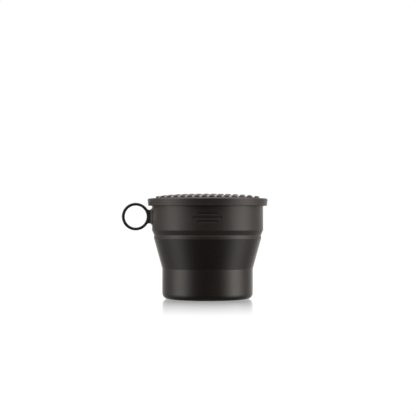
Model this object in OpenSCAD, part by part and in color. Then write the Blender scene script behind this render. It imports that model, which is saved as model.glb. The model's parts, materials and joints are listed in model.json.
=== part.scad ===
// Collapsible travel cup: soft folding body with a hanging ring, stiff rim ring,
// press-on lid with a ribbed grip pad and a seal ring. Millimetres, Z up.
// The origin is the middle of the base's underside and the hanging ring is on -X.

/* [Overall] */
// outside width of the mouth band
band_d = 90; // [84:0.5:110]
// outside width of the base cup
base_d = 73.4; // [60:0.2:76]
// height of the base cup, from the table to the lower fold line
base_h = 24.5; // [24.5:0.5:32]
// height of the fold wall, from the lower fold line to the upper one
fold_h = 24.0; // [18:0.1:24]
// height of the straight mouth band, from the chamfer to the rim ring
band_h = 22.5; // [21:0.1:32]

/* [Soft walls] */
// wall of the base cup
base_wall = 2.0; // [1.6:0.1:3]
// floor of the base cup
floor_t = 2.5; // [2:0.1:4]
// outside rounding of the base cup's lower edge
base_round = 5; // [3:0.5:8]
// depth of the shallow groove under the base
foot_groove = 0.6; // [0.3:0.1:1]
// wall of the fold wall between its two thin fold lines
fold_wall_t = 1.3; // [1:0.05:1.8]
// wall of the fold wall at its two fold lines
fold_line_t = 0.8; // [0.6:0.05:1]
// wall of the mouth band
band_wall = 2.2; // [2:0.1:3]

/* [Shoulder] */
// how far the shoulder ring stands back from the mouth band
shoulder_in = 1.6; // [1:0.1:2.5]
// height of the shoulder ring
shoulder_h = 2.4; // [2:0.1:5]
// wall of the shoulder ring
shoulder_wall = 1.6; // [1.2:0.1:2]
// depth of the small groove above the shoulder ring
neck_in = 0.25; // [0.1:0.05:0.5]
// height of the chamfer from that groove out to the mouth band
chamfer_h = 3.9; // [2:0.1:5]

/* [Hanging ring] */
// radius of the hole in the hanging ring
loop_hole_r = 8.9; // [6:0.05:12]
// width of the hanging ring's rim
loop_rim = 2.3; // [1.5:0.1:3]
// thickness of the hanging ring
loop_t = 3.0; // [2:0.1:5]
// open distance between the band and the nearest point of the ring's rim
loop_reach = 2.1; // [1.5:0.05:4]
// radius of the fillets between the ring and the band
loop_fillet = 2.3; // [1.8:0.1:3.5]
// height of the hanging ring's middle below the rim ring's seat
loop_drop = 11.45; // [11.3:0.05:13]

/* [Rim ring] */
// thickness of the rim ring's flange
rim_t = 1.5; // [1.5:0.1:3]
// how far the flange stands out past the mouth band
rim_out = 1.2; // [0.8:0.1:1.6]
// thickness of the tongue under the flange
tongue_t = 0.8; // [0.6:0.1:1]
// length of the tongue under the flange
tongue_h = 5.3; // [3:0.1:7]
// clearance round the tongue in its slot
tongue_gap = 0.1; // [0.05:0.05:0.2]

/* [Lid] */
// clearance between the lid's skirt and the rim ring's flange
skirt_gap = 0.5; // [0.4:0.05:0.8]
// clearance under the lid where it sits on the rim ring
seat_gap = 0.15; // [0.1:0.05:0.3]
// wall of the skirt at its lower edge
skirt_wall = 1.4; // [1.2:0.1:2]
// how much wider the skirt is at its top than at its lower edge, a side
skirt_draft = 0.65; // [0:0.05:1]
// how far the skirt reaches below the rim ring's flange
skirt_down = 2.7; // [2:0.1:3.5]
// height of the snap bead inside the skirt's lower edge
bead_h = 0.3; // [0.1:0.05:0.35]
// thickness of the lid's top
lid_t = 1.5; // [1.5:0.1:2.5]
// rounding of the lid's outer top edge
lid_round = 1.4; // [0.8:0.1:1.5]
// gap between the plug wall and the mouth, taken up by the seal ring
plug_gap = 1.4; // [1.2:0.1:2]
// wall of the plug
plug_wall = 1.7; // [1.5:0.1:2.5]
// how far the plug reaches below the rim ring's seat
plug_down = 4.0; // [3.5:0.1:4.2]

/* [Seal ring] */
// clearance between the seal's lips and the mouth
seal_gap = 0.2; // [0.1:0.05:0.3]
// height of the seal ring
seal_h = 3.6; // [3:0.1:4]
// depth of the plug's groove that holds the seal ring
seal_groove = 0.5; // [0.3:0.05:0.7]
// clearance between the seal ring and its groove
seal_fit = 0.08; // [0.05:0.01:0.15]

/* [Grip pad] */
// distance from the lid's outer edge to the pad, a side
pad_in = 6.75; // [5:0.05:10]
// height of the pad at its middle, above the lid's top
pad_h = 3.75; // [3.25:0.05:5]
// how much lower the pad is near its edge than at its middle
pad_drop = 1.9; // [0.5:0.1:2]
// how flat the middle of the dome is; 2 is a plain round dome
pad_shape = 3.2; // [2:0.1:4]
// width of the sloped border round the pad
pad_bevel = 1.0; // [0.5:0.1:2]
// depth of the recess in the lid that the pad sits in
pad_recess = 0.4; // [0.2:0.1:0.6]
// clearance round the pad in its recess
pad_gap = 0.1; // [0.05:0.05:0.2]
// distance from one rib to the next
rib_pitch = 5.75; // [4:0.05:8]
// width of the gap between two ribs
rib_gap = 1.9; // [1:0.1:2.5]
// depth of the gap between two ribs
rib_depth = 1.1; // [0.4:0.1:1.4]
// turn of the ribs away from the front-to-back line
rib_turn = -3.5; // [-10:0.5:10]

/* [Plain mark] */
// depth of the plain mark pressed into the band's front
mark_depth = 0.35; // [0.2:0.05:0.5]
// height of the mark's middle below the rim ring's seat
mark_drop = 12.5; // [11:0.5:14]

/* [Hidden] */
band_r = band_d / 2;
base_r = base_d / 2;
fold_z0 = base_h;
fold_z1 = base_h + fold_h;
shoulder_r = band_r - shoulder_in;
shoulder_bore = shoulder_r - shoulder_wall;
fold_top_r = shoulder_r - 0.1;
neck_h = 0.7;
neck_z = fold_z1 + shoulder_h + neck_h;
band_z0 = neck_z + chamfer_h;
rim_z = band_z0 + band_h;
mouth_r = band_r - band_wall;
slot_r0 = mouth_r + 0.6;
slot_r1 = slot_r0 + tongue_t + 2 * tongue_gap;
rim_top = rim_z + rim_t;
flange_r = band_r + rim_out;
skirt_bore = flange_r + skirt_gap;
skirt_r0 = skirt_bore + skirt_wall;
lid_r = skirt_r0 + skirt_draft;
skirt_z = rim_z - skirt_down;
lid_under = rim_top + seat_gap;
lid_top = lid_under + lid_t;
plug_r = mouth_r - plug_gap;
plug_z = rim_z - plug_down;
seal_z0 = plug_z + 0.9;
seal_r0 = plug_r - seal_groove;
seal_tip = mouth_r - seal_gap;
pad_r = lid_r - pad_in;
pad_floor = lid_top - pad_recess;
pad_crest = lid_top + pad_h;
pad_flat_r = pad_r - pad_bevel;
loop_r = loop_hole_r + loop_rim;
loop_x = -(band_r + loop_reach + loop_r);
loop_z = rim_z - loop_drop;
mark_z = rim_z - mark_drop;
slack = 1;
soft_black = [0.10, 0.09, 0.09];
hard_black = [0.13, 0.12, 0.12];
$fn = 96;

// one node to draw, or all of them

// The quarter-round cut that rounds an outside corner of a turned profile.
// dx and dy are the corner's outward directions.
module round_cut(x, y, r, dx, dy) {
  difference() {
    translate([x - (dx > 0 ? r : slack), y - (dy > 0 ? r : slack)]) square(r + slack);
    translate([x - dx * r, y - dy * r]) circle(r);
  }
}

module base_cup() {
  inner_r = base_r - base_wall;
  inner_round = base_round - 1.5;
  color(soft_black) rotate_extrude() difference() {
    square([base_r, fold_z0]);
    round_cut(base_r, 0, base_round, 1, -1);
    // the inside, with a rounded bottom corner
    difference() {
      translate([0, floor_t]) square([inner_r, fold_z0]);
      round_cut(inner_r, floor_t, inner_round, 1, -1);
    }
    // shallow groove round the foot
    translate([base_r * 0.62, -slack]) square([base_r * 0.1, slack + foot_groove]);
  }
}

// outside radius of the fold wall at a height above the lower fold line
function fold_r(h) = base_r + (fold_top_r - base_r) * h / fold_h;

module fold_wall() {
  line_h = 1.1;
  thick_h = 2.8;
  color(soft_black) rotate_extrude() polygon([
    [base_r, fold_z0],
    [fold_top_r, fold_z1],
    [fold_top_r - fold_line_t, fold_z1],
    [fold_r(fold_h - line_h) - fold_line_t, fold_z1 - line_h],
    [fold_r(fold_h - thick_h) - fold_wall_t, fold_z1 - thick_h],
    [fold_r(thick_h) - fold_wall_t, fold_z0 + thick_h],
    [fold_r(line_h) - fold_line_t, fold_z0 + line_h],
    [base_r - fold_line_t, fold_z0]
  ]);
}

// Three short plain bars with round ends, seen from the front.
module mark_shape() {
  bar_h = 1.5;
  for (i = [-1 : 1]) {
    half = 11 - 3 * abs(i);
    translate([0, i * 3.1]) {
      square([2 * half - bar_h, bar_h], center = true);
      translate([half - bar_h / 2, 0]) circle(bar_h / 2);
      translate([-half + bar_h / 2, 0]) circle(bar_h / 2);
    }
  }
}

module upper_band() {
  color(soft_black) difference() {
    rotate_extrude() difference() {
      polygon([
        [shoulder_bore, fold_z1],
        [shoulder_r, fold_z1],
        [shoulder_r, fold_z1 + shoulder_h],
        [shoulder_r - neck_in, neck_z],
        [band_r, band_z0],
        [band_r, rim_z],
        [mouth_r, rim_z],
        [mouth_r, band_z0 + 0.4],
        [shoulder_bore, neck_z - 0.3]
      ]);
      // slot for the rim ring's tongue
      translate([slot_r0, rim_z - tongue_h - tongue_gap])
        square([slot_r1 - slot_r0, tongue_h + tongue_gap + slack]);
    }
    // plain mark pressed into the front
    intersection() {
      translate([0, 0, mark_z]) rotate([90, 0, 0]) linear_extrude(band_r + slack) mark_shape();
      difference() {
        translate([0, 0, mark_z - 8]) cylinder(h = 16, r = band_r + 2);
        translate([0, 0, mark_z - 9]) cylinder(h = 18, r = band_r - mark_depth);
      }
    }
  }
}

// A flat plate of the ring's thickness, standing on the front-to-back middle.
module loop_plate() {
  translate([0, loop_t / 2, loop_z]) rotate([90, 0, 0]) linear_extrude(loop_t) children();
}

module hang_ring() {
  // each fillet circle runs from the band's side to the ring's rim
  sink = 0.06;
  fx = -(band_r + loop_fillet - sink);
  away = -(loop_x - fx);
  fz = sqrt(pow(loop_r + loop_fillet - sink, 2) - away * away);
  color(soft_black) difference() {
    union() {
      loop_plate() translate([loop_x, 0]) circle(loop_r);
      difference() {
        loop_plate() polygon([[-band_r + slack, -fz], [fx, -fz], [loop_x, 0], [fx, fz],
                              [-band_r + slack, fz]]);
        for (side = [-1, 1])
          translate([0, slack, loop_z]) rotate([90, 0, 0])
            translate([fx, side * fz, -loop_t]) cylinder(h = 2 * loop_t + 2 * slack, r = loop_fillet);
      }
    }
    translate([loop_x, loop_t, loop_z]) rotate([90, 0, 0]) cylinder(h = 2 * loop_t, r = loop_hole_r);
    translate([0, 0, loop_z - loop_r - slack]) cylinder(h = 2 * (loop_r + slack), r = band_r);
  }
}

module rim_ring() {
  color(hard_black) rotate_extrude() {
    difference() {
      translate([mouth_r, rim_z]) square([flange_r - mouth_r, rim_t]);
      round_cut(flange_r, rim_top, 0.9, 1, 1);
      round_cut(flange_r, rim_z, 0.5, 1, -1);
      round_cut(mouth_r, rim_top, 0.9, -1, 1);
    }
    translate([slot_r0 + tongue_gap, rim_z - tongue_h]) square([tongue_t, tongue_h + 0.5]);
  }
}

module lid_shell() {
  bead_z = skirt_z + 1.1;
  plug_in = plug_r - plug_wall;
  groove_top = seal_z0 + seal_h + seal_fit;
  color(hard_black) rotate_extrude() difference() {
    polygon([
      // underside, then down and round the plug with its groove for the seal ring
      [0, lid_under],
      [plug_in, lid_under],
      [plug_in, plug_z],
      [plug_r, plug_z],
      [plug_r, seal_z0 - seal_fit],
      [seal_r0, seal_z0 - seal_fit],
      [seal_r0, groove_top],
      [plug_r, groove_top],
      [plug_r, lid_under],
      // down the inside of the skirt, past its snap bead
      [skirt_bore, lid_under],
      [skirt_bore, bead_z + 0.6],
      [skirt_bore - bead_h, bead_z],
      [skirt_bore, bead_z - 0.6],
      [skirt_bore, skirt_z],
      [skirt_r0, skirt_z],
      [lid_r, lid_top],
      // recess for the grip pad
      [pad_r + pad_gap, lid_top],
      [pad_r + pad_gap, pad_floor],
      [0, pad_floor]
    ]);
    round_cut(lid_r - 0.02, lid_top, lid_round, 1, 1);
  }
}

module lid_seal() {
  color(soft_black) rotate_extrude() {
    // band of the seal in the plug's groove
    translate([seal_r0 + seal_fit, seal_z0]) square([seal_groove, seal_h]);
    // two lips that reach out to the mouth
    for (lip = [0.25, 0.75]) {
      polygon([[plug_r - 0.1, seal_z0 + seal_h * lip - 0.8],
               [seal_tip, seal_z0 + seal_h * lip - 0.25],
               [seal_tip, seal_z0 + seal_h * lip + 0.25],
               [plug_r - 0.1, seal_z0 + seal_h * lip + 0.8]]);
    }
  }
}

// height of the pad's low dome at a place given by its distances from the middle
function dome_at(x, y = 0) = pad_crest - pad_drop * pow(sqrt(x * x + y * y) / pad_flat_r, pad_shape);

// One gap between two ribs, at a distance off the middle, with its floor along the dome.
module rib_gap_cut(off) {
  reach = pad_r + slack;
  steps = 5;
  translate([off - rib_gap / 2, 0, 0]) rotate([90, 0, 90]) linear_extrude(rib_gap) polygon(concat(
    [for (k = [-steps : steps]) [reach * k / steps, dome_at(off, reach * k / steps) - rib_depth]],
    [[reach, pad_crest + slack], [-reach, pad_crest + slack]]
  ));
}

module lid_grip_pad() {
  count = floor(pad_r / rib_pitch);
  steps = 10;
  color(soft_black) difference() {
    // a low dome with a sloped border
    rotate_extrude() polygon(concat(
      [[0, pad_floor], [pad_r, pad_floor], [pad_r, lid_top + 0.1]],
      [for (k = [steps : -1 : 0]) [pad_flat_r * k / steps, dome_at(pad_flat_r * k / steps)]]
    ));
    rotate([0, 0, rib_turn]) for (i = [-count : count - 1]) rib_gap_cut((i + 0.5) * rib_pitch);
  }
}

base_cup();
fold_wall();
upper_band();
hang_ring();
rim_ring();
lid_shell();
lid_grip_pad();
lid_seal();
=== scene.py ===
import json
import math

import bmesh
import bpy
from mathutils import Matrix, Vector
from mathutils.geometry import delaunay_2d_cdt


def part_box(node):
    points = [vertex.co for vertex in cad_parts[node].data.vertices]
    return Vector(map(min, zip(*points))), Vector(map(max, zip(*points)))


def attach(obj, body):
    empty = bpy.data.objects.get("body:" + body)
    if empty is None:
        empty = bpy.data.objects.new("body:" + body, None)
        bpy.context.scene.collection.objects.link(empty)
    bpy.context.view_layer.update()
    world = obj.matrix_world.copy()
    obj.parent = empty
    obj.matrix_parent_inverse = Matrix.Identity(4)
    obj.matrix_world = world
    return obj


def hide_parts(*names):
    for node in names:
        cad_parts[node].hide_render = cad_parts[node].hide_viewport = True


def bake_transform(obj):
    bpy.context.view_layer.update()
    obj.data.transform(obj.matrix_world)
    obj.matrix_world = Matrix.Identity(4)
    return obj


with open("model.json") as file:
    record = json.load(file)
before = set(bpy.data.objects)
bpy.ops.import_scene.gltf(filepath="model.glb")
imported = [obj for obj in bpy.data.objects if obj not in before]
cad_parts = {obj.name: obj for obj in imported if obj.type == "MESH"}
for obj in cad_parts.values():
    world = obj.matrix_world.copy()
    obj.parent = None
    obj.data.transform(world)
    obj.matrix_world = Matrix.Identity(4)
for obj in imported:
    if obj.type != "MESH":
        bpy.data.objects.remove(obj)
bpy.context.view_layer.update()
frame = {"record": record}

# Millimetres are used for every size below; MM turns them into metres.
MM = 0.001


def node_box(node):
    """A CAD node's lowest and highest corners, in millimetres."""
    low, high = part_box(node)
    return low / MM, high / MM


# ---------------------------------------------------------------- sizes from the CAD
base_high = node_box("base_cup")[1]
fold_high = node_box("fold_wall")[1]
band_high = node_box("upper_band")[1]
loop_low, loop_high = node_box("hang_ring")
rim_low, rim_high = node_box("rim_ring")
lid_low, lid_high = node_box("lid_shell")
pad_low, pad_high = node_box("lid_grip_pad")
seal_low, seal_high = node_box("lid_seal")
hole = next(m for m in frame["record"]["mounts"] if m["name"] == "hang_hole")

BASE_R = base_high.x
FOLD_Z0 = base_high.z
FOLD_Z1 = fold_high.z
FOLD_TOP_R = fold_high.x
BAND_R = band_high.x
RIM_Z = band_high.z
RIM_TOP = rim_high.z
FLANGE_R = rim_high.x
TONGUE_Z = rim_low.z
LID_TOP = lid_high.z
PLUG_Z = lid_low.z
PAD_R = pad_high.x
PAD_FLOOR = pad_low.z
PAD_CREST = pad_high.z
SEAL_TIP = seal_high.x
SEAL_Z0 = seal_low.z
SEAL_Z1 = seal_high.z
LOOP_R = (loop_high.z - loop_low.z) / 2
LOOP_Z = (loop_high.z + loop_low.z) / 2
LOOP_X = loop_low.x + LOOP_R
LOOP_T = loop_high.y - loop_low.y
LOOP_HOLE_R = hole["dims"]["r_mm"]

# ---------------------------------------------------------------- sizes of the looks
BASE_WALL = 2.0
FLOOR_T = 2.5
FOOT_ROUND = 5.0
# the shallow ring pressed into the underside, as shares of the base's radius
GROOVE_SHARE = 0.62
GROOVE_WIDTH_SHARE = 0.1
GROOVE_H = 0.6
# the fold wall is thin at both fold lines and thickens between these two distances from them
FOLD_WALL = 1.3
FOLD_LINE = 0.8
FOLD_THIN = 1.1
FOLD_THICK = 2.8
BAND_WALL = 2.2
SHOULDER_IN = 1.6
SHOULDER_H = 2.4
SHOULDER_WALL = 1.6
NECK_IN = 0.25
NECK_H = 0.7
CHAMFER_H = 3.9
SLOT_IN = 0.6
SLOT_W = 1.0
SLOT_GAP = 0.1
LOOP_SUNK = 0.9
LOOP_STEP = 0.45
LOOP_EDGE = 0.85
LOOP_FILLET = 2.3
LOOP_FLARE = 0.75
LOOP_FLARE_LEN = 1.1
# the plate's edge rounding fades out over LOOP_FADE, down to nothing LOOP_FADE_END inside the band
LOOP_FADE = 1.8
LOOP_FADE_END = 0.3
# extra mesh points over the ring's foot: how far out they reach, their two steps, their half width
LOOP_GRID_OUT = 2.6
LOOP_GRID_IN = 0.28
LOOP_GRID_UP = 0.55
LOOP_GRID_HALF = 4.1
SKIRT_GAP = 0.5
SKIRT_WALL = 1.4
SKIRT_DRAFT = 0.65
SKIRT_DOWN = 2.7
BEAD_H = 0.3
BEAD_UP = 1.1
BEAD_HALF = 0.6
GATE_R = 2.2
GATE_H = 0.35
PANEL_STEP_IN = 4.2
PANEL_STEP_H = 0.25
LID_ROUND = 1.1
SEAT_GAP = 0.15
PLUG_GAP = 1.4
PLUG_WALL = 1.7
SEAL_GROOVE = 0.5
SEAL_FIT = 0.08
PAD_DROP = 1.9
PAD_SHAPE = 3.2
PAD_BORDER = 1.0
PAD_GAP = 0.1
PAD_FIT = 0.02
PAD_FOOT = 0.1
# the border's round shoulder: how far in it reaches in borders, its lift, its power, its soft meeting
SHOULDER_RUN = 1.35
SHOULDER_LIFT = 0.25
SHOULDER_POWER = 2.2
SHOULDER_BLEND = 0.22
RIB_PITCH = 5.75
RIB_GAP = 1.9
RIB_DEPTH = 1.1
RIB_SOFT = 0.6
RIB_CROWN = 0.4
RIB_TURN = math.radians(-3.5)
MARK_Z = RIM_Z - 12.5
MARK_DEPTH = 0.2
MARK_STEP = 3.1
# each bar's height from the mark's middle and half its length
MARK_BARS = ((-MARK_STEP, 8.0), (0.0, 11.0), (MARK_STEP, 8.0))
MARK_BAR_H = 1.5
MARK_SOFT = 0.34
# half the height and half the width of the patch of fine mesh that the mark is pressed into
MARK_UP = 4.6
MARK_SIDE = 13.0
MARK_ROW = 0.25
MARK_COLUMN = 0.27
BODY_COLUMNS = 190


# ---------------------------------------------------------------- mesh helpers
def filleted(points, closed=False, step=12.0, hold=0.12):
    """Rounds the corners of a polyline of (x, y, radius). Each rounding has held points beside it."""
    out = []
    count = len(points)
    for i, (x, y, radius) in enumerate(points):
        inner = closed or 0 < i < count - 1
        here = Vector((x, y))
        if not inner or radius <= 0:
            out.append((x, y))
            continue
        before = Vector(points[i - 1][:2]) - here
        after = Vector(points[(i + 1) % count][:2]) - here
        turn = math.pi - before.angle(after)
        if turn < 1e-4:
            out.append((x, y))
            continue
        reach = radius * math.tan(turn / 2)
        reach = min(reach, before.length * 0.46, after.length * 0.46)
        radius = reach / math.tan(turn / 2)
        start = here + before.normalized() * reach
        end = here + after.normalized() * reach
        middle = here + (before.normalized() + after.normalized()).normalized() * (
            radius / math.cos(turn / 2)
        )
        out.append(tuple(start + before.normalized() * min(hold, before.length * 0.03)))
        steps = max(2, math.ceil(math.degrees(turn) / step))
        first = math.atan2(*reversed(start - middle))
        sweep = (math.atan2(*reversed(end - middle)) - first + math.pi) % (2 * math.pi) - math.pi
        for k in range(steps + 1):
            angle = first + sweep * k / steps
            out.append((middle.x + radius * math.cos(angle), middle.y + radius * math.sin(angle)))
        out.append(tuple(end + after.normalized() * min(hold, after.length * 0.03)))
    return out


def denser(points, longest, low=-1e9, high=1e9, closed=False):
    """Splits the polyline's segments between two heights until none is over the longest."""
    out = []
    ends = points[1:] + points[:1] if closed else points[1:]
    for a, b in zip(points, ends):
        out.append(a)
        length = math.dist(a, b)
        middle = (a[1] + b[1]) / 2
        if low < middle < high and length > longest:
            parts = math.ceil(length / longest)
            for k in range(1, parts):
                t = k / parts
                out.append((a[0] + (b[0] - a[0]) * t, a[1] + (b[1] - a[1]) * t))
    if not closed:
        out.append(points[-1])
    return out


def even_angles(count):
    """Angles that share a full turn evenly."""
    return [2 * math.pi * k / count for k in range(count)]


def new_object(name, vertices, faces):
    """A smooth mesh object from points in millimetres. Each point keeps its place at rest for the
    materials, so that a pattern stays on the skin when a joint bends it."""
    mesh = bpy.data.meshes.new(name)
    mesh.from_pydata([(x * MM, y * MM, z * MM) for x, y, z in vertices], [], faces)
    bm = bmesh.new()
    bm.from_mesh(mesh)
    bmesh.ops.recalc_face_normals(bm, faces=bm.faces)
    bm.to_mesh(mesh)
    bm.free()
    mesh.shade_smooth()
    mesh.update()
    rest = mesh.attributes.new("rest_place", "FLOAT_VECTOR", "POINT")
    rest.data.foreach_set("vector", [value for vertex in mesh.vertices for value in vertex.co])
    obj = bpy.data.objects.new(name, mesh)
    bpy.context.scene.collection.objects.link(obj)
    return obj


def lathe(name, profile, angles, closed, shape=None):
    """Turns a profile of (radius, height) round Z. An open profile starts and ends on the axis.
    shape moves a point (angle, radius, height) before it is placed."""
    vertices, rings = [], []
    for radius, height in profile:
        if radius < 1e-6:
            rings.append([len(vertices)])
            vertices.append((0, 0, height))
            continue
        ring = []
        for angle in angles:
            r, z = shape(angle, radius, height) if shape else (radius, height)
            ring.append(len(vertices))
            vertices.append((r * math.cos(angle), r * math.sin(angle), z))
        rings.append(ring)
    faces = []
    pairs = zip(rings, rings[1:] + rings[:1]) if closed else zip(rings, rings[1:])
    turns = len(angles)
    for low, high in pairs:
        for k in range(turns):
            n = (k + 1) % turns
            if len(low) == 1:
                faces.append((low[0], high[n], high[k]))
            elif len(high) == 1:
                faces.append((low[k], low[n], high[0]))
            else:
                faces.append((low[k], low[n], high[n], high[k]))
    return new_object(name, vertices, faces)


def smooth(t):
    """0 below 0, 1 above 1 and a smooth step between."""
    t = min(max(t, 0.0), 1.0)
    return t * t * (3 - 2 * t)


# ---------------------------------------------------------------- soft body of the cup
def fold_r(height):
    """Outside radius of the fold wall at a height above the lower fold line."""
    return BASE_R + (FOLD_TOP_R - BASE_R) * height / (FOLD_Z1 - FOLD_Z0)


def mark_shape(angle, radius, height):
    """Presses the plain mark, three short bars with round ends, into the band's front."""
    along = (angle + math.pi / 2) * BAND_R
    if radius < BAND_R - 0.01 or abs(height - MARK_Z) > MARK_UP or abs(along) > MARK_SIDE:
        return radius, height
    nearest = 1e9
    for up, half in MARK_BARS:
        straight = half - MARK_BAR_H / 2
        side = max(abs(along) - straight, 0.0)
        nearest = min(nearest, math.hypot(side, height - MARK_Z - up) - MARK_BAR_H / 2)
    deep = smooth((MARK_SOFT - nearest) / (2 * MARK_SOFT))
    return radius - MARK_DEPTH * deep, height


def make_body():
    """The whole soft moulding: base cup, fold wall, shoulder and band, with the rim ring's slot."""
    fold_h = FOLD_Z1 - FOLD_Z0
    shoulder_r = BAND_R - SHOULDER_IN
    shoulder_bore = shoulder_r - SHOULDER_WALL
    shoulder_z = FOLD_Z1 + SHOULDER_H
    neck_z = shoulder_z + NECK_H
    band_z0 = neck_z + CHAMFER_H
    mouth_r = BAND_R - BAND_WALL
    slot_r0 = mouth_r + SLOT_IN
    slot_z = TONGUE_Z - SLOT_GAP
    inner_r = BASE_R - BASE_WALL
    groove = BASE_R * GROOVE_SHARE
    groove_out = groove + BASE_R * GROOVE_WIDTH_SHARE
    # radius, height and corner rounding, from the middle of the underside up and back down inside
    corners = [
        (0, 0, 0),
        (groove, 0, 0.25),
        (groove, GROOVE_H, 0.25),
        (groove_out, GROOVE_H, 0.25),
        (groove_out, 0, 0.25),
        (BASE_R, 0, FOOT_ROUND),
        (BASE_R, FOLD_Z0, 0.9),
        (FOLD_TOP_R, FOLD_Z1, 0.25),
        (shoulder_r, FOLD_Z1 + 0.25, 0.25),
        (shoulder_r, shoulder_z, 0.35),
        (shoulder_r - NECK_IN, neck_z, 0.4),
        (BAND_R, band_z0, 0.9),
        (BAND_R, RIM_Z, 0.2),
        (slot_r0 + SLOT_W, RIM_Z, 0.1),
        (slot_r0 + SLOT_W, slot_z, 0.2),
        (slot_r0, slot_z, 0.2),
        (slot_r0, RIM_Z, 0.1),
        (mouth_r, RIM_Z, 0.2),
        (mouth_r, band_z0 + 0.4, 0.9),
        (shoulder_bore, neck_z - 0.3, 0.9),
        (shoulder_bore, FOLD_Z1 + 0.9, 0.3),
        (FOLD_TOP_R - FOLD_LINE, FOLD_Z1, 0.3),
        (fold_r(fold_h - FOLD_THIN) - FOLD_LINE, FOLD_Z1 - FOLD_THIN, 0.5),
        (fold_r(fold_h - FOLD_THICK) - FOLD_WALL, FOLD_Z1 - FOLD_THICK, 0.8),
        (fold_r(FOLD_THICK) - FOLD_WALL, FOLD_Z0 + FOLD_THICK, 0.8),
        (fold_r(FOLD_THIN) - FOLD_LINE, FOLD_Z0 + FOLD_THIN, 0.5),
        (BASE_R - FOLD_LINE, FOLD_Z0, 0.3),
        (inner_r, FOLD_Z0 - 1.3, 0.8),
        (inner_r, FLOOR_T, FOOT_ROUND - 1.5),
        (0, FLOOR_T, 0),
    ]
    profile = filleted(corners)
    # enough rows for the wall to bend smoothly, most of them beside the fold lines
    profile = denser(profile, 0.3, FOLD_Z0 - 0.3, FOLD_Z0 + 4.5)
    profile = denser(profile, 0.3, FOLD_Z1 - 4.5, FOLD_Z1 + 0.3)
    profile = denser(profile, 0.9, FOLD_Z0, FOLD_Z1)
    # fine rows only on the outside, where the mark is pressed in
    mark_low, mark_high = MARK_Z - MARK_UP, MARK_Z + MARK_UP
    rows = []
    for a, b in zip(profile, profile[1:] + [profile[-1]]):
        rows.append(a)
        if a[0] > BAND_R - 0.01 and b[0] > BAND_R - 0.01 and b[1] - a[1] > 10:
            span = mark_high - mark_low
            steps = math.ceil(span / MARK_ROW)
            rows += [(BAND_R, mark_low + span * k / steps) for k in range(steps + 1)]
    profile = rows
    # fine columns only across the mark
    front = -math.pi / 2
    reach = MARK_SIDE / BAND_R
    fine = math.ceil(2 * reach * BAND_R / MARK_COLUMN)
    angles = [front - reach + 2 * reach * k / fine for k in range(fine)]
    rest = 2 * math.pi - 2 * reach
    angles += [front + reach + rest * k / BODY_COLUMNS for k in range(BODY_COLUMNS)]
    return lathe("cup_body", profile, angles, closed=False, shape=mark_shape)


# ---------------------------------------------------------------- hanging ring
def arc(cx, cz, radius, start, end, step):
    """Points along an arc from one angle to another, no further apart than the step."""
    count = max(2, math.ceil(abs(end - start) * radius / step))
    return [
        (cx + radius * math.cos(start + (end - start) * k / count),
         cz + radius * math.sin(start + (end - start) * k / count))
        for k in range(count + 1)
    ]


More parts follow.
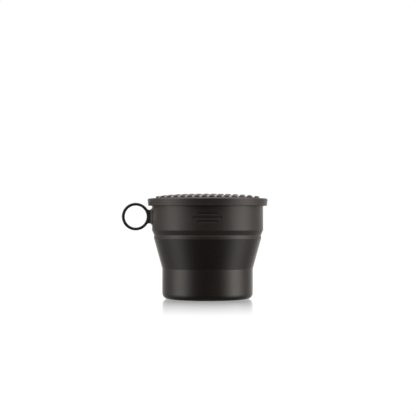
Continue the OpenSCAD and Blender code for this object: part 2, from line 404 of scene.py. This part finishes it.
def make_loop():
    """A flat plate with a round hole, soft edges, and a foot that flares into the band."""
    fx = -(BAND_R + LOOP_FILLET)
    away = fx - LOOP_X
    fz = math.sqrt((LOOP_R + LOOP_FILLET) ** 2 - away ** 2)
    lean = math.atan2(fz, away)
    rim = arc(LOOP_X, 0, LOOP_R, lean, 2 * math.pi - lean, LOOP_STEP)
    low = arc(fx, -fz, LOOP_FILLET, math.pi - lean, 0, LOOP_STEP * 0.7)
    high = arc(fx, fz, LOOP_FILLET, 0, lean - math.pi, LOOP_STEP * 0.7)
    sunk = -BAND_R + LOOP_SUNK
    outline = rim[:-1] + low + [(sunk, -fz), (sunk, fz)] + high[:-1]
    inside = arc(LOOP_X, 0, LOOP_HOLE_R, 2 * math.pi, 0, LOOP_STEP)[:-1]

    def offset(loop, amount):
        """The loop moved into the plate, less and less where the foot runs into the band."""
        out = []
        n = len(loop)
        for k in range(n):
            a, b = Vector(loop[k - 1]), Vector(loop[(k + 1) % n])
            along = (b - a).normalized()
            own = amount * min(max((LOOP_FADE_END - BAND_R - loop[k][0]) / LOOP_FADE, 0.0), 1.0)
            out.append((loop[k][0] - along.y * own, loop[k][1] + along.x * own))
        return out

    half = LOOP_T / 2
    turns = 6
    vertices, faces = [], []

    def place(point, y):
        """Adds a vertex, further from the plate's middle the nearer it is to the band."""
        near = math.exp(-max(-BAND_R - point[0], 0) / LOOP_FLARE_LEN)
        vertices.append((point[0], y * (1 + LOOP_FLARE * near), LOOP_Z + point[1]))
        return len(vertices) - 1

    def edge(loop):
        """The side wall from the back cap's edge to the front cap's, rounded at both."""
        rings = []
        for k in range(2 * turns + 2):
            back = k <= turns
            t = (turns - k if back else k - turns - 1) / turns * math.pi / 2
            inset = LOOP_EDGE * (1 - math.cos(t))
            y = (half - LOOP_EDGE + LOOP_EDGE * math.sin(t)) * (1 if back else -1)
            rings.append([place(p, y) for p in offset(loop, inset)])
        for a, b in zip(rings, rings[1:]):
            n = len(a)
            faces.extend((a[j], a[(j + 1) % n], b[(j + 1) % n], b[j]) for j in range(n))
        return rings[0], rings[-1]

    outer_ends, inner_ends = edge(outline), edge(inside)
    # caps: triangles between the two rims, with extra points where the foot flares
    for side, (outer_ring, inner_ring) in enumerate(zip(outer_ends, inner_ends)):
        ring = outer_ring + inner_ring
        flat = [Vector((vertices[i][0], vertices[i][2])) for i in ring]
        a, b = len(outer_ring), len(inner_ring)
        edges = [(k, (k + 1) % a) for k in range(a)]
        edges += [(a + k, a + (k + 1) % b) for k in range(b)]
        # the foot's extra points, in a wider patch at the band and clear of the hole's edge
        extra = []
        for i in range(12):
            for j in range(-9, 10):
                p = Vector((-BAND_R - LOOP_GRID_OUT + i * LOOP_GRID_IN, j * LOOP_GRID_UP))
                wide = LOOP_GRID_HALF + max(0.0, 1.6 - (-p.x - BAND_R)) * 0.4
                clear = (p - Vector((LOOP_X, 0))).length > LOOP_HOLE_R + LOOP_EDGE + 0.3
                if abs(p.y) < wide and clear:
                    extra.append(Vector((p.x, p.y + LOOP_Z)))
        points, _, tris, source, _, _ = delaunay_2d_cdt(flat + extra, edges, [], 0, 1e-6)
        y = half if side == 0 else -half
        index = []
        for k, p in enumerate(points):
            own = [s for s in source[k] if s < len(ring)]
            index.append(ring[own[0]] if own else place((p.x, p.y - LOOP_Z), y))
        outer_line = [tuple(flat[k]) for k in range(a)]
        for t in tris:
            c = sum((points[k] for k in t), Vector((0, 0))) / 3
            in_hole = (c - Vector((LOOP_X, LOOP_Z))).length < LOOP_HOLE_R + LOOP_EDGE * 0.999
            if not in_hole and within(c, outer_line):
                faces.append(tuple(index[k] for k in t))
    return new_object("cup_hang_ring", vertices, faces)


def within(p, loop):
    """Whether a point lies inside a closed polyline."""
    hit = False
    for (x1, y1), (x2, y2) in zip(loop, loop[1:] + loop[:1]):
        if (y1 > p.y) != (y2 > p.y) and p.x < (x2 - x1) * (p.y - y1) / (y2 - y1) + x1:
            hit = not hit
    return hit


# ---------------------------------------------------------------- rim ring, lid and seal
def make_rim():
    """The stiff ring on the mouth, with the tongue that holds it in the band's slot."""
    mouth_r = BAND_R - BAND_WALL
    tongue_r0 = mouth_r + SLOT_IN + SLOT_GAP
    tongue_r1 = tongue_r0 + SLOT_W - 2 * SLOT_GAP
    profile = filleted([
        (mouth_r, RIM_Z, 0.1),
        (mouth_r, RIM_TOP, 1.0),
        (FLANGE_R, RIM_TOP, 0.9),
        (FLANGE_R, RIM_Z, 0.5),
        (tongue_r1, RIM_Z, 0.08),
        (tongue_r1, TONGUE_Z, 0.3),
        (tongue_r0, TONGUE_Z, 0.3),
        (tongue_r0, RIM_Z, 0.08),
    ], closed=True, step=15)
    return lathe("rim_ring_moulded", profile, even_angles(224), closed=True)


def make_lid():
    """The lid's shell: plug wall with the seal's groove, skirt with its bead, recess for the pad."""
    under = RIM_TOP + SEAT_GAP
    plug_r = BAND_R - BAND_WALL - PLUG_GAP
    skirt_bore = FLANGE_R + SKIRT_GAP
    skirt_r0 = skirt_bore + SKIRT_WALL
    skirt_z = RIM_Z - SKIRT_DOWN
    bead_z = skirt_z + BEAD_UP
    groove_r = plug_r - SEAL_GROOVE
    recess_r = PAD_R + PAD_GAP
    plug_bore = plug_r - PLUG_WALL
    profile = filleted([
        (0, under - GATE_H, 0),
        (GATE_R, under - GATE_H, 0.3),
        (GATE_R + 0.4, under, 0.3),
        (plug_bore - PANEL_STEP_IN, under, 0.3),
        (plug_bore - PANEL_STEP_IN + 0.4, under + PANEL_STEP_H, 0.3),
        (plug_bore, under + PANEL_STEP_H, 0.4),
        (plug_bore, PLUG_Z, 0.5),
        (plug_r, PLUG_Z, 0.5),
        (plug_r, SEAL_Z0 - SEAL_FIT, 0.1),
        (groove_r, SEAL_Z0 - SEAL_FIT, 0.1),
        (groove_r, SEAL_Z1 + SEAL_FIT, 0.1),
        (plug_r, SEAL_Z1 + SEAL_FIT, 0.1),
        (plug_r, under, 0.3),
        (skirt_bore, under, 0.4),
        (skirt_bore, bead_z + BEAD_HALF, 0.3),
        (skirt_bore - BEAD_H, bead_z, 0.25),
        (skirt_bore, bead_z - BEAD_HALF, 0.3),
        (skirt_bore, skirt_z, 0.25),
        (skirt_r0, skirt_z, 0.15),
        (skirt_r0 + SKIRT_DRAFT, LID_TOP, LID_ROUND),
        (recess_r + 0.25, LID_TOP, 0.15),
        (recess_r, LID_TOP - 0.2, 0.1),
        (recess_r, PAD_FLOOR, 0.1),
        (0, PAD_FLOOR, 0),
    ], step=9)
    return lathe("lid_shell_moulded", profile, even_angles(256), closed=False)


def make_seal():
    """The seal ring: a flat back in the plug's groove and two round lips against the band."""
    plug_r = BAND_R - BAND_WALL - PLUG_GAP
    back = plug_r - SEAL_GROOVE + SEAL_FIT
    height = SEAL_Z1 - SEAL_Z0
    points = [(back, SEAL_Z0, 0.15), (back + SEAL_GROOVE, SEAL_Z0, 0.15)]
    for lip in (0.25, 0.75):
        z = SEAL_Z0 + height * lip
        points += [
            (plug_r - 0.02, z - 0.75, 0.2),
            (SEAL_TIP, z - 0.25, 0.24),
            (SEAL_TIP, z + 0.25, 0.24),
            (plug_r - 0.02, z + 0.75, 0.2),
        ]
    points += [(back + SEAL_GROOVE, SEAL_Z1, 0.15), (back, SEAL_Z1, 0.15)]
    profile = filleted(points, closed=True, step=18)
    return lathe("lid_seal_ring", profile, even_angles(192), closed=True)


# ---------------------------------------------------------------- ribbed grip pad
def make_pad():
    """The soft pad: a low dome with straight ribs across it and a rounded border."""
    flat_r = PAD_R - PAD_BORDER
    foot_z = LID_TOP + PAD_FOOT
    shoulder = PAD_CREST - PAD_DROP + SHOULDER_LIFT - foot_z

    def top(across, along):
        """The pad's upper face at a place in the ribs' own directions."""
        out = math.hypot(across, along)
        crest = PAD_CREST - PAD_DROP * (min(out, PAD_R) / flat_r) ** PAD_SHAPE
        turn = across / RIB_PITCH - 0.5
        off = abs(turn - round(turn)) * RIB_PITCH
        gap = 1 - smooth((off - RIB_GAP / 2 + RIB_SOFT) / (2 * RIB_SOFT))
        crown = RIB_CROWN * (1 - off / (RIB_PITCH / 2)) ** 2
        surface = crest - RIB_DEPTH * gap - crown * (1 - gap)
        inward = max(PAD_R - out, 0.0)
        share = min(inward / (PAD_BORDER * SHOULDER_RUN), 1.0)
        if share >= 1.0:
            return surface
        border = foot_z + shoulder * math.sqrt(1 - (1 - share) ** SHOULDER_POWER)
        h = min(max(0.5 + 0.5 * (border - surface) / SHOULDER_BLEND, 0.0), 1.0)
        return border + (surface - border) * h - SHOULDER_BLEND * h * (1 - h)

    # distances in from the edge: close together on the rounded border, then even
    ends = [0.0, 0.04, 0.11, 0.21, 0.34, 0.5, 0.7, 0.95, 1.25, 1.7, 2.3]
    columns = [-PAD_R + e for e in ends[1:]]
    inner = PAD_R - ends[-1]
    count = math.ceil(2 * inner / 0.24)
    columns += [-inner + 2 * inner * k / count for k in range(1, count)]
    columns += [PAD_R - e for e in reversed(ends[1:])]
    middle_steps = 46
    vertices, faces, lines = [], [], []

    def place(across, along, z):
        """Adds a vertex given in the ribs' own directions."""
        x = across * math.cos(RIB_TURN) - along * math.sin(RIB_TURN)
        y = across * math.sin(RIB_TURN) + along * math.cos(RIB_TURN)
        vertices.append((x, y, z))
        return len(vertices) - 1

    for across in columns:
        reach = math.sqrt(max(PAD_R ** 2 - across ** 2, 0.0))
        squeeze = min(1.0, reach * 0.45 / ends[-1])
        low = [-reach + e * squeeze for e in ends]
        high = [reach - e * squeeze for e in reversed(ends)]
        span = high[0] - low[-1]
        middle = [low[-1] + span * k / middle_steps for k in range(1, middle_steps)]
        line = [place(across, along, top(across, along)) for along in low + middle + high]
        feet = (place(across, -reach, PAD_FLOOR + PAD_FIT), place(across, reach, PAD_FLOOR + PAD_FIT))
        lines.append((line, feet))
    for (a, foot_a), (b, foot_b) in zip(lines, lines[1:]):
        faces.extend((a[k], b[k], b[k + 1], a[k + 1]) for k in range(len(a) - 1))
        faces.append((foot_a[0], foot_b[0], b[0], a[0]))
        faces.append((a[-1], b[-1], foot_b[1], foot_a[1]))
        faces.append((foot_a[1], foot_b[1], foot_b[0], foot_a[0]))
    for across, (line, feet) in ((-PAD_R, lines[0]), (PAD_R, lines[-1])):
        # the pad's first and last points, where a column would have no length
        tip = place(across, 0, top(across, 0))
        foot = place(across, 0, PAD_FLOOR + PAD_FIT)
        faces.extend((line[k], line[k + 1], tip) for k in range(len(line) - 1))
        faces.append((line[0], tip, foot, feet[0]))
        faces.append((tip, line[-1], feet[1], foot))
        faces.append((feet[0], foot, feet[1]))
    return new_object("lid_grip_pad_ribbed", vertices, faces)


# ---------------------------------------------------------------- materials
class Nodes:
    """Small helper that adds and links shader nodes in one material."""

    def __init__(self, name):
        self.material = bpy.data.materials.new(name)
        self.material.use_nodes = True
        self.tree = self.material.node_tree
        self.shader = self.tree.nodes["Principled BSDF"]
        rest = self.tree.nodes.new("ShaderNodeAttribute")
        rest.attribute_name = "rest_place"
        self.place = rest.outputs["Vector"]

    def add(self, kind, **inputs):
        node = self.tree.nodes.new(kind)
        for key, value in inputs.items():
            self.put(node, key.replace("_", " "), value)
        return node

    def put(self, node, key, value):
        socket = node.inputs[int(key)] if key.isdigit() else node.inputs[key]
        if isinstance(value, bpy.types.NodeSocket):
            self.tree.links.new(value, socket)
        else:
            socket.default_value = value

    def noise(self, size, detail=4.0, rough=0.55, stretch=None):
        """Noise whose features are about the given size in millimetres."""
        vector = self.place
        if stretch:
            mapping = self.add("ShaderNodeMapping", Vector=vector)
            mapping.inputs["Scale"].default_value = stretch
            vector = mapping.outputs[0]
        node = self.add("ShaderNodeTexNoise", Vector=vector, Scale=1 / (size * MM), Detail=detail)
        node.inputs["Roughness"].default_value = rough
        return node.outputs["Fac"]

    def spread(self, value, low, high, from_low=0.3, from_high=0.7):
        """Maps from_low..from_high onto low..high and clamps; noise lies mostly in 0.3..0.7."""
        node = self.add("ShaderNodeMapRange", Value=value)
        node.inputs["From Min"].default_value = from_low
        node.inputs["From Max"].default_value = from_high
        node.inputs["To Min"].default_value = low
        node.inputs["To Max"].default_value = high
        return node.outputs["Result"]

    def math(self, operation, a, b=0.0):
        node = self.tree.nodes.new("ShaderNodeMath")
        node.operation = operation
        self.put(node, "0", a)
        self.put(node, "1", b)
        return node.outputs[0]

    def mix(self, share, a, b):
        node = self.tree.nodes.new("ShaderNodeMix")
        node.data_type = "RGBA"
        self.put(node, "0", share)
        self.put(node, "6", a)
        self.put(node, "7", b)
        return node.outputs[2]

    def bump(self, height, strength, depth, normal=None):
        """A bump of the given depth in millimetres."""
        node = self.add("ShaderNodeBump", Height=height, Strength=strength)
        node.inputs["Distance"].default_value = depth * MM
        if normal:
            self.put(node, "Normal", normal)
        return node.outputs["Normal"]

    def height(self):
        return self.add("ShaderNodeSeparateXYZ", Vector=self.place).outputs["Z"]

    def band(self, height, middle, half):
        """1 at a height, falling to 0 at half a band's width from it, in millimetres."""
        off = self.math("ABSOLUTE", self.math("SUBTRACT", height, middle * MM))
        return self.spread(off, 1.0, 0.0, 0.0, half * MM)

    def mark(self):
        """1 inside the plain mark's three bars at the front of the band, 0 outside."""
        x, y, z = self.add("ShaderNodeSeparateXYZ", Vector=self.place).outputs
        up = self.math("ABSOLUTE", self.math("SUBTRACT", z, MARK_Z * MM))
        outer = self.math("GREATER_THAN", up, MARK_STEP / 2 * MM)
        off = self.math("SUBTRACT", up, self.math("MULTIPLY", outer, MARK_STEP * MM))
        straight = (MARK_BARS[1][1] - MARK_BAR_H / 2) * MM
        shorter = (MARK_BARS[1][1] - MARK_BARS[0][1]) * MM
        reach = self.math("SUBTRACT", straight, self.math("MULTIPLY", outer, shorter))
        side = self.math("MAXIMUM", self.math("SUBTRACT", self.math("ABSOLUTE", x), reach), 0.0)
        square = self.math("ADD", self.math("MULTIPLY", side, side), self.math("MULTIPLY", off, off))
        away = self.math("SUBTRACT", self.math("SQRT", square), MARK_BAR_H / 2 * MM)
        inside = self.spread(away, 0.0, 1.0, 0.25 * MM, -0.15 * MM)
        return self.math("MULTIPLY", inside, self.math("LESS_THAN", y, 0.0))

    def rib_gaps(self):
        """1 on the floors of the gaps between the pad's ribs, 0 on the ribs."""
        x, y, _ = self.add("ShaderNodeSeparateXYZ", Vector=self.place).outputs
        across = self.math("ADD", self.math("MULTIPLY", x, math.cos(RIB_TURN) / (RIB_PITCH * MM)),
                           self.math("MULTIPLY", y, math.sin(RIB_TURN) / (RIB_PITCH * MM)))
        turn = self.math("SUBTRACT", across, 0.5)
        off = self.math("ABSOLUTE", self.math("SUBTRACT", turn, self.math("ROUND", turn)))
        half = RIB_GAP / 2 / RIB_PITCH
        return self.spread(off, 1.0, 0.0, half * 0.75, half * 1.35)


def colour(r, g, b):
    """A linear colour as the shader sockets take it."""
    return (r, g, b, 1.0)


def soft_material(name, dark, light, rough, grain, grain_depth, fold_lines=(), dust=0.0, upper=None,
                  ribbed=False):
    """Moulded silicone rubber: fine grain, cloudy gloss, a little lint, paler where it is bent.
    upper is (height, paler by, rougher by) for the part above a height, which also has the mark.
    ribbed paints the floors of the pad's gaps paler, as a painted reflection, and makes them
    glossier."""
    n = Nodes(name)
    cloud = n.noise(26, 3)
    fine = n.noise(grain, 3, 0.6)
    smear = n.noise(9, 5, 0.65, stretch=(1.0, 1.0, 0.35))
    tint = n.mix(n.spread(cloud, 0.0, 1.0), dark, light)
    if fold_lines:
        height = n.height()
        pale_line = None
        for z in fold_lines:
            line = n.band(height, z, 0.7)
            pale_line = line if pale_line is None else n.math("MAXIMUM", pale_line, line)
        pale_line = n.math("MULTIPLY", pale_line, n.spread(n.noise(3, 4), 0.1, 0.5))
        pale = tuple(c * 2.2 for c in light[:3]) + (1.0,)
        tint = n.mix(pale_line, tint, pale)
    if dust:
        lint = n.spread(n.noise(0.8, 2, 0.4), 0.0, 1.0, 0.72, 0.78)
        tint = n.mix(n.math("MULTIPLY", lint, dust), tint, colour(0.16, 0.15, 0.145))
    gloss = n.math("ADD", n.spread(smear, -0.035, 0.045), n.spread(fine, -0.03, 0.03))
    if upper:
        line, paler, rougher = upper
        share = n.spread(n.height(), 0.0, 1.0, (line - 0.4) * MM, (line + 0.4) * MM)
        tones = [colour(*(c * paler for c in tone[:3])) for tone in (dark, light)]
        tint = n.mix(share, tint, n.mix(n.spread(cloud, 0.0, 1.0), *tones))
        gloss = n.math("ADD", gloss, n.math("MULTIPLY", share, rougher))
        tint = n.mix(n.math("MULTIPLY", n.mark(), 0.7), tint, colour(0.003, 0.0024, 0.0022))
    if ribbed:
        gaps = n.rib_gaps()
        # painted reflection: pale colour on the floors of the rib gaps, mottled by noise
        painted_gap_reflection = n.math("MULTIPLY", gaps, n.spread(n.noise(2.2, 3), 0.35, 0.8))
        tint = n.mix(painted_gap_reflection, tint, colour(0.09, 0.085, 0.082))
        gloss = n.math("SUBTRACT", gloss, n.math("MULTIPLY", gaps, 0.18))
    n.put(n.shader, "Base Color", tint)
    n.put(n.shader, "Roughness", n.math("ADD", gloss, rough))
    n.put(n.shader, "Normal", n.bump(fine, 0.6, grain_depth, n.bump(n.noise(5, 2), 0.3, 0.05)))
    n.shader.inputs["IOR"].default_value = 1.42
    return n.material


def hard_material(name, dark, light, rough, edge=None):
    """Injection-moulded plastic with a spark-eroded skin, flow clouds and fine rubbed scratches.
    edge is the height in millimetres of an edge painted pale, a painted highlight that lightens the
    shade line under the lid's skirt."""
    n = Nodes(name)
    skin = n.noise(0.32, 3, 0.6)
    flow = n.noise(18, 3, 0.5)
    scratch = n.noise(1.1, 3, 0.5, stretch=(0.25, 3.0, 1.0))
    rubbed = n.spread(scratch, 0.0, 1.0, 0.6, 0.75)
    tint = n.mix(n.spread(flow, 0.0, 1.0), dark, light)
    tint = n.mix(n.math("MULTIPLY", rubbed, 0.12), tint, colour(0.07, 0.066, 0.063))
    if edge is not None:
        # painted highlight: a pale band along the skirt's lower edge, lightening the shade where the
        # lid overhangs the band
        pale_line = n.band(n.height(), edge, 0.5)
        pale_line = n.math("MULTIPLY", pale_line, n.spread(n.noise(2.5, 3), 0.6, 1.0))
        tint = n.mix(pale_line, tint, colour(0.06, 0.055, 0.052))
    gloss = n.math("ADD", n.spread(flow, -0.03, 0.04), n.math("MULTIPLY", rubbed, 0.06))
    n.put(n.shader, "Base Color", tint)
    n.put(n.shader, "Roughness", n.math("ADD", gloss, rough))
    n.put(n.shader, "Normal", n.bump(skin, 0.6, 0.02, n.bump(scratch, 0.25, 0.012)))
    n.shader.inputs["IOR"].default_value = 1.46
    return n.material


# ---------------------------------------------------------------- build
body = make_body()
loop = make_loop()
rim = make_rim()
lid = make_lid()
pad = make_pad()
seal = make_seal()

silicone = soft_material(
    "cup_silicone", colour(0.0062, 0.005, 0.0044), colour(0.0085, 0.0068, 0.006),
    rough=0.25, grain=0.35, grain_depth=0.02, fold_lines=(FOLD_Z0, FOLD_Z1), dust=0.25,
    upper=(FOLD_Z1, 1.7, 0.12),
)
loop_silicone = soft_material(
    "ring_silicone", colour(0.0085, 0.0065, 0.006), colour(0.012, 0.0098, 0.0092),
    rough=0.4, grain=0.3, grain_depth=0.015, dust=0.2,
)
grip_rubber = soft_material(
    "grip_rubber", colour(0.011, 0.0095, 0.009), colour(0.017, 0.015, 0.0145),
    rough=0.55, grain=0.28, grain_depth=0.03, dust=0.3, ribbed=True,
)
seal_silicone = soft_material(
    "seal_silicone", colour(0.035, 0.034, 0.034), colour(0.05, 0.049, 0.048),
    rough=0.3, grain=0.3, grain_depth=0.01,
)
lid_plastic = hard_material(
    "lid_plastic", colour(0.0105, 0.0078, 0.0072), colour(0.0135, 0.0105, 0.0098), rough=0.38,
    # painted highlight along the skirt's lower edge
    edge=RIM_Z - SKIRT_DOWN,
)
rim_plastic = hard_material(
    "rim_plastic", colour(0.012, 0.0105, 0.01), colour(0.017, 0.015, 0.0145), rough=0.3,
)

for piece, material, slot in (
    (body, silicone, "body_soft"),
    (loop, loop_silicone, "body_soft"),
    (rim, rim_plastic, "rim_hard"),
    (lid, lid_plastic, "lid_hard"),
    (pad, grip_rubber, "pad_soft"),
    (seal, seal_silicone, "seal_soft"),
):
    piece.data.materials.append(material)

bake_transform(body)
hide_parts("base_cup", "fold_wall", "upper_band")
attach(loop, "collar")
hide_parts("hang_ring")
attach(rim, "collar")
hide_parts("rim_ring")
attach(lid, "lid")
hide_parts("lid_shell")
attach(pad, "lid")
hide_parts("lid_grip_pad")
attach(seal, "seal")
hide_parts("lid_seal")

# ---------------------------------------------------------------- studio
WHITE = 1.02
FLOOR_HALF = 6000
FLOOR_FADE = 160
FLOOR_GLOSS = 0.14
FLOOR_SHARE = 0.8
# strengths of the lights; a slope is what a light gains from its middle to the right
ROOM_LIGHT = 0.11
LOW_LIGHT = 0.14
BEHIND_LIGHT = 1.15
BEHIND_SLOPE = 0.5
SIDE_LIGHT = 4.0
SIDE_SLOPE = 0.55
SIDE_FADE_DOWN = 0.75
FLANK_LIGHT = 0.25
ABOVE_LIGHT = 4.9
LIGHT_TINT = (1.0, 0.955, 0.91, 1.0)
scene = bpy.context.scene
scene.view_settings.view_transform = "Standard"
scene.view_settings.look = "None"


def make_floor():
    """A pale, slightly glossy table top. It lights nothing else, as the plain cut-out look needs."""
    corners = [(x * FLOOR_HALF, y * FLOOR_HALF, 0) for x, y in ((-1, -1), (1, -1), (1, 1), (-1, 1))]
    floor = new_object("studio_floor", corners, [(0, 1, 2, 3)])
    n = Nodes("studio_floor_white")
    tree = n.tree
    tree.nodes.remove(n.shader)
    glow = n.add("ShaderNodeEmission", Color=colour(1, 1, 1), Strength=WHITE)
    gloss = n.add("ShaderNodeBsdfGlossy", Color=colour(1.02, 1.06, 1.1), Roughness=FLOOR_GLOSS)
    facing = n.add("ShaderNodeLayerWeight", Blend=0.5).outputs["Facing"]
    across = n.add("ShaderNodeVectorMath", **{"0": n.place})
    across.operation = "LENGTH"
    # the reflection fades away from the cup and where the floor is looked down on
    near = n.spread(across.outputs["Value"], 1.0, 0.0, BASE_R * MM, (BASE_R + FLOOR_FADE) * MM)
    share = n.math("MULTIPLY", n.math("POWER", near, 1.3), n.math("POWER", facing, 2.0))
    share = n.math("MULTIPLY", share, FLOOR_SHARE)
    mix = n.add("ShaderNodeMixShader", Fac=share)
    tree.links.new(glow.outputs[0], mix.inputs[1])
    tree.links.new(gloss.outputs[0], mix.inputs[2])
    tree.links.new(mix.outputs[0], tree.nodes["Material Output"].inputs["Surface"])
    floor.data.materials.append(n.material)
    floor.visible_diffuse = False
    floor.visible_glossy = False
    floor.visible_shadow = False


def make_world():
    """White to look at. It lights with a dim room, a tall soft box at each side and one above."""
    world = bpy.data.worlds.new("studio")
    world.use_nodes = True
    scene.world = world
    tree = world.node_tree
    tree.nodes.clear()

    def step(operation, a, b=0.0):
        """One sum on numbers or sockets."""
        node = tree.nodes.new("ShaderNodeMath")
        node.operation = operation
        for socket, value in zip(node.inputs, (a, b)):
            if isinstance(value, bpy.types.NodeSocket):
                tree.links.new(value, socket)
            else:
                socket.default_value = value
        return node.outputs[0]

    where = tree.nodes.new("ShaderNodeTexCoord").outputs["Generated"]
    split = tree.nodes.new("ShaderNodeSeparateXYZ")
    tree.links.new(where, split.inputs[0])
    x, y, z = split.outputs
    # turn from the front, 0 to 180 degrees on both sides, and height above the horizon
    turn = step("ABSOLUTE", step("ARCTAN2", x, step("MULTIPLY", y, -1.0)))
    rise = step("ARCSINE", z)

    def bell(value, middle, width):
        """1 at the middle, falling off softly over the width, both in degrees."""
        off = step("DIVIDE", step("SUBTRACT", value, math.radians(middle)), math.radians(width))
        return step("EXPONENT", step("MULTIPLY", step("MULTIPLY", off, off), -1.0))

    room = step("ADD", ROOM_LIGHT, step("MULTIPLY", bell(rise, -90, 26), LOW_LIGHT))
    behind = step("MULTIPLY", bell(turn, 180, 42), bell(rise, 6, 28))
    behind = step("MULTIPLY", behind, step("ADD", BEHIND_LIGHT, step("MULTIPLY", x, BEHIND_SLOPE)))
    room = step("ADD", room, behind)
    boxes = step("MULTIPLY", bell(turn, 73, 24), bell(rise, 14, 40))
    low = step("MULTIPLY", bell(rise, -60, 22), SIDE_FADE_DOWN)
    boxes = step("MULTIPLY", boxes, step("SUBTRACT", 1.0, low))
    boxes = step("MULTIPLY", boxes, step("ADD", SIDE_LIGHT, step("MULTIPLY", x, SIDE_SLOPE)))
    flanks = step("MULTIPLY", bell(turn, 118, 26), bell(rise, -5, 50))
    boxes = step("ADD", boxes, step("MULTIPLY", flanks, FLANK_LIGHT))
    above = step("MULTIPLY", bell(rise, 90, 36), ABOVE_LIGHT)
    total = step("ADD", step("ADD", room, boxes), above)
    lit = tree.nodes.new("ShaderNodeBackground")
    tree.links.new(total, lit.inputs["Strength"])
    seen = tree.nodes.new("ShaderNodeBackground")
    seen.inputs["Strength"].default_value = WHITE
    lit.inputs["Color"].default_value = LIGHT_TINT
    seen.inputs["Color"].default_value = colour(1, 1, 1)
    mix = tree.nodes.new("ShaderNodeMixShader")
    tree.links.new(tree.nodes.new("ShaderNodeLightPath").outputs["Is Camera Ray"], mix.inputs[0])
    tree.links.new(lit.outputs[0], mix.inputs[1])
    tree.links.new(seen.outputs[0], mix.inputs[2])
    out = tree.nodes.new("ShaderNodeOutputWorld")
    tree.links.new(mix.outputs[0], out.inputs["Surface"])


make_floor()
make_world()

# ---------------------------------------------------------------- camera
CAMERA_BACK = 984.0
CAMERA_UP = 62.0
CAMERA_SIDE = 0.35
LOOK_UP = 73.5
camera_data = bpy.data.cameras.new("camera")
camera_data.sensor_width = 36.0
camera_data.lens = 105.0
camera = bpy.data.objects.new("camera", camera_data)
camera.location = (CAMERA_SIDE * MM, -CAMERA_BACK * MM, CAMERA_UP * MM)
tilt = math.atan2(LOOK_UP - CAMERA_UP, CAMERA_BACK)
camera.rotation_euler = (math.pi / 2 + tilt, 0, 0)
camera_data.clip_start = 0.01
camera_data.clip_end = 50
scene.collection.objects.link(camera)
scene.camera = camera
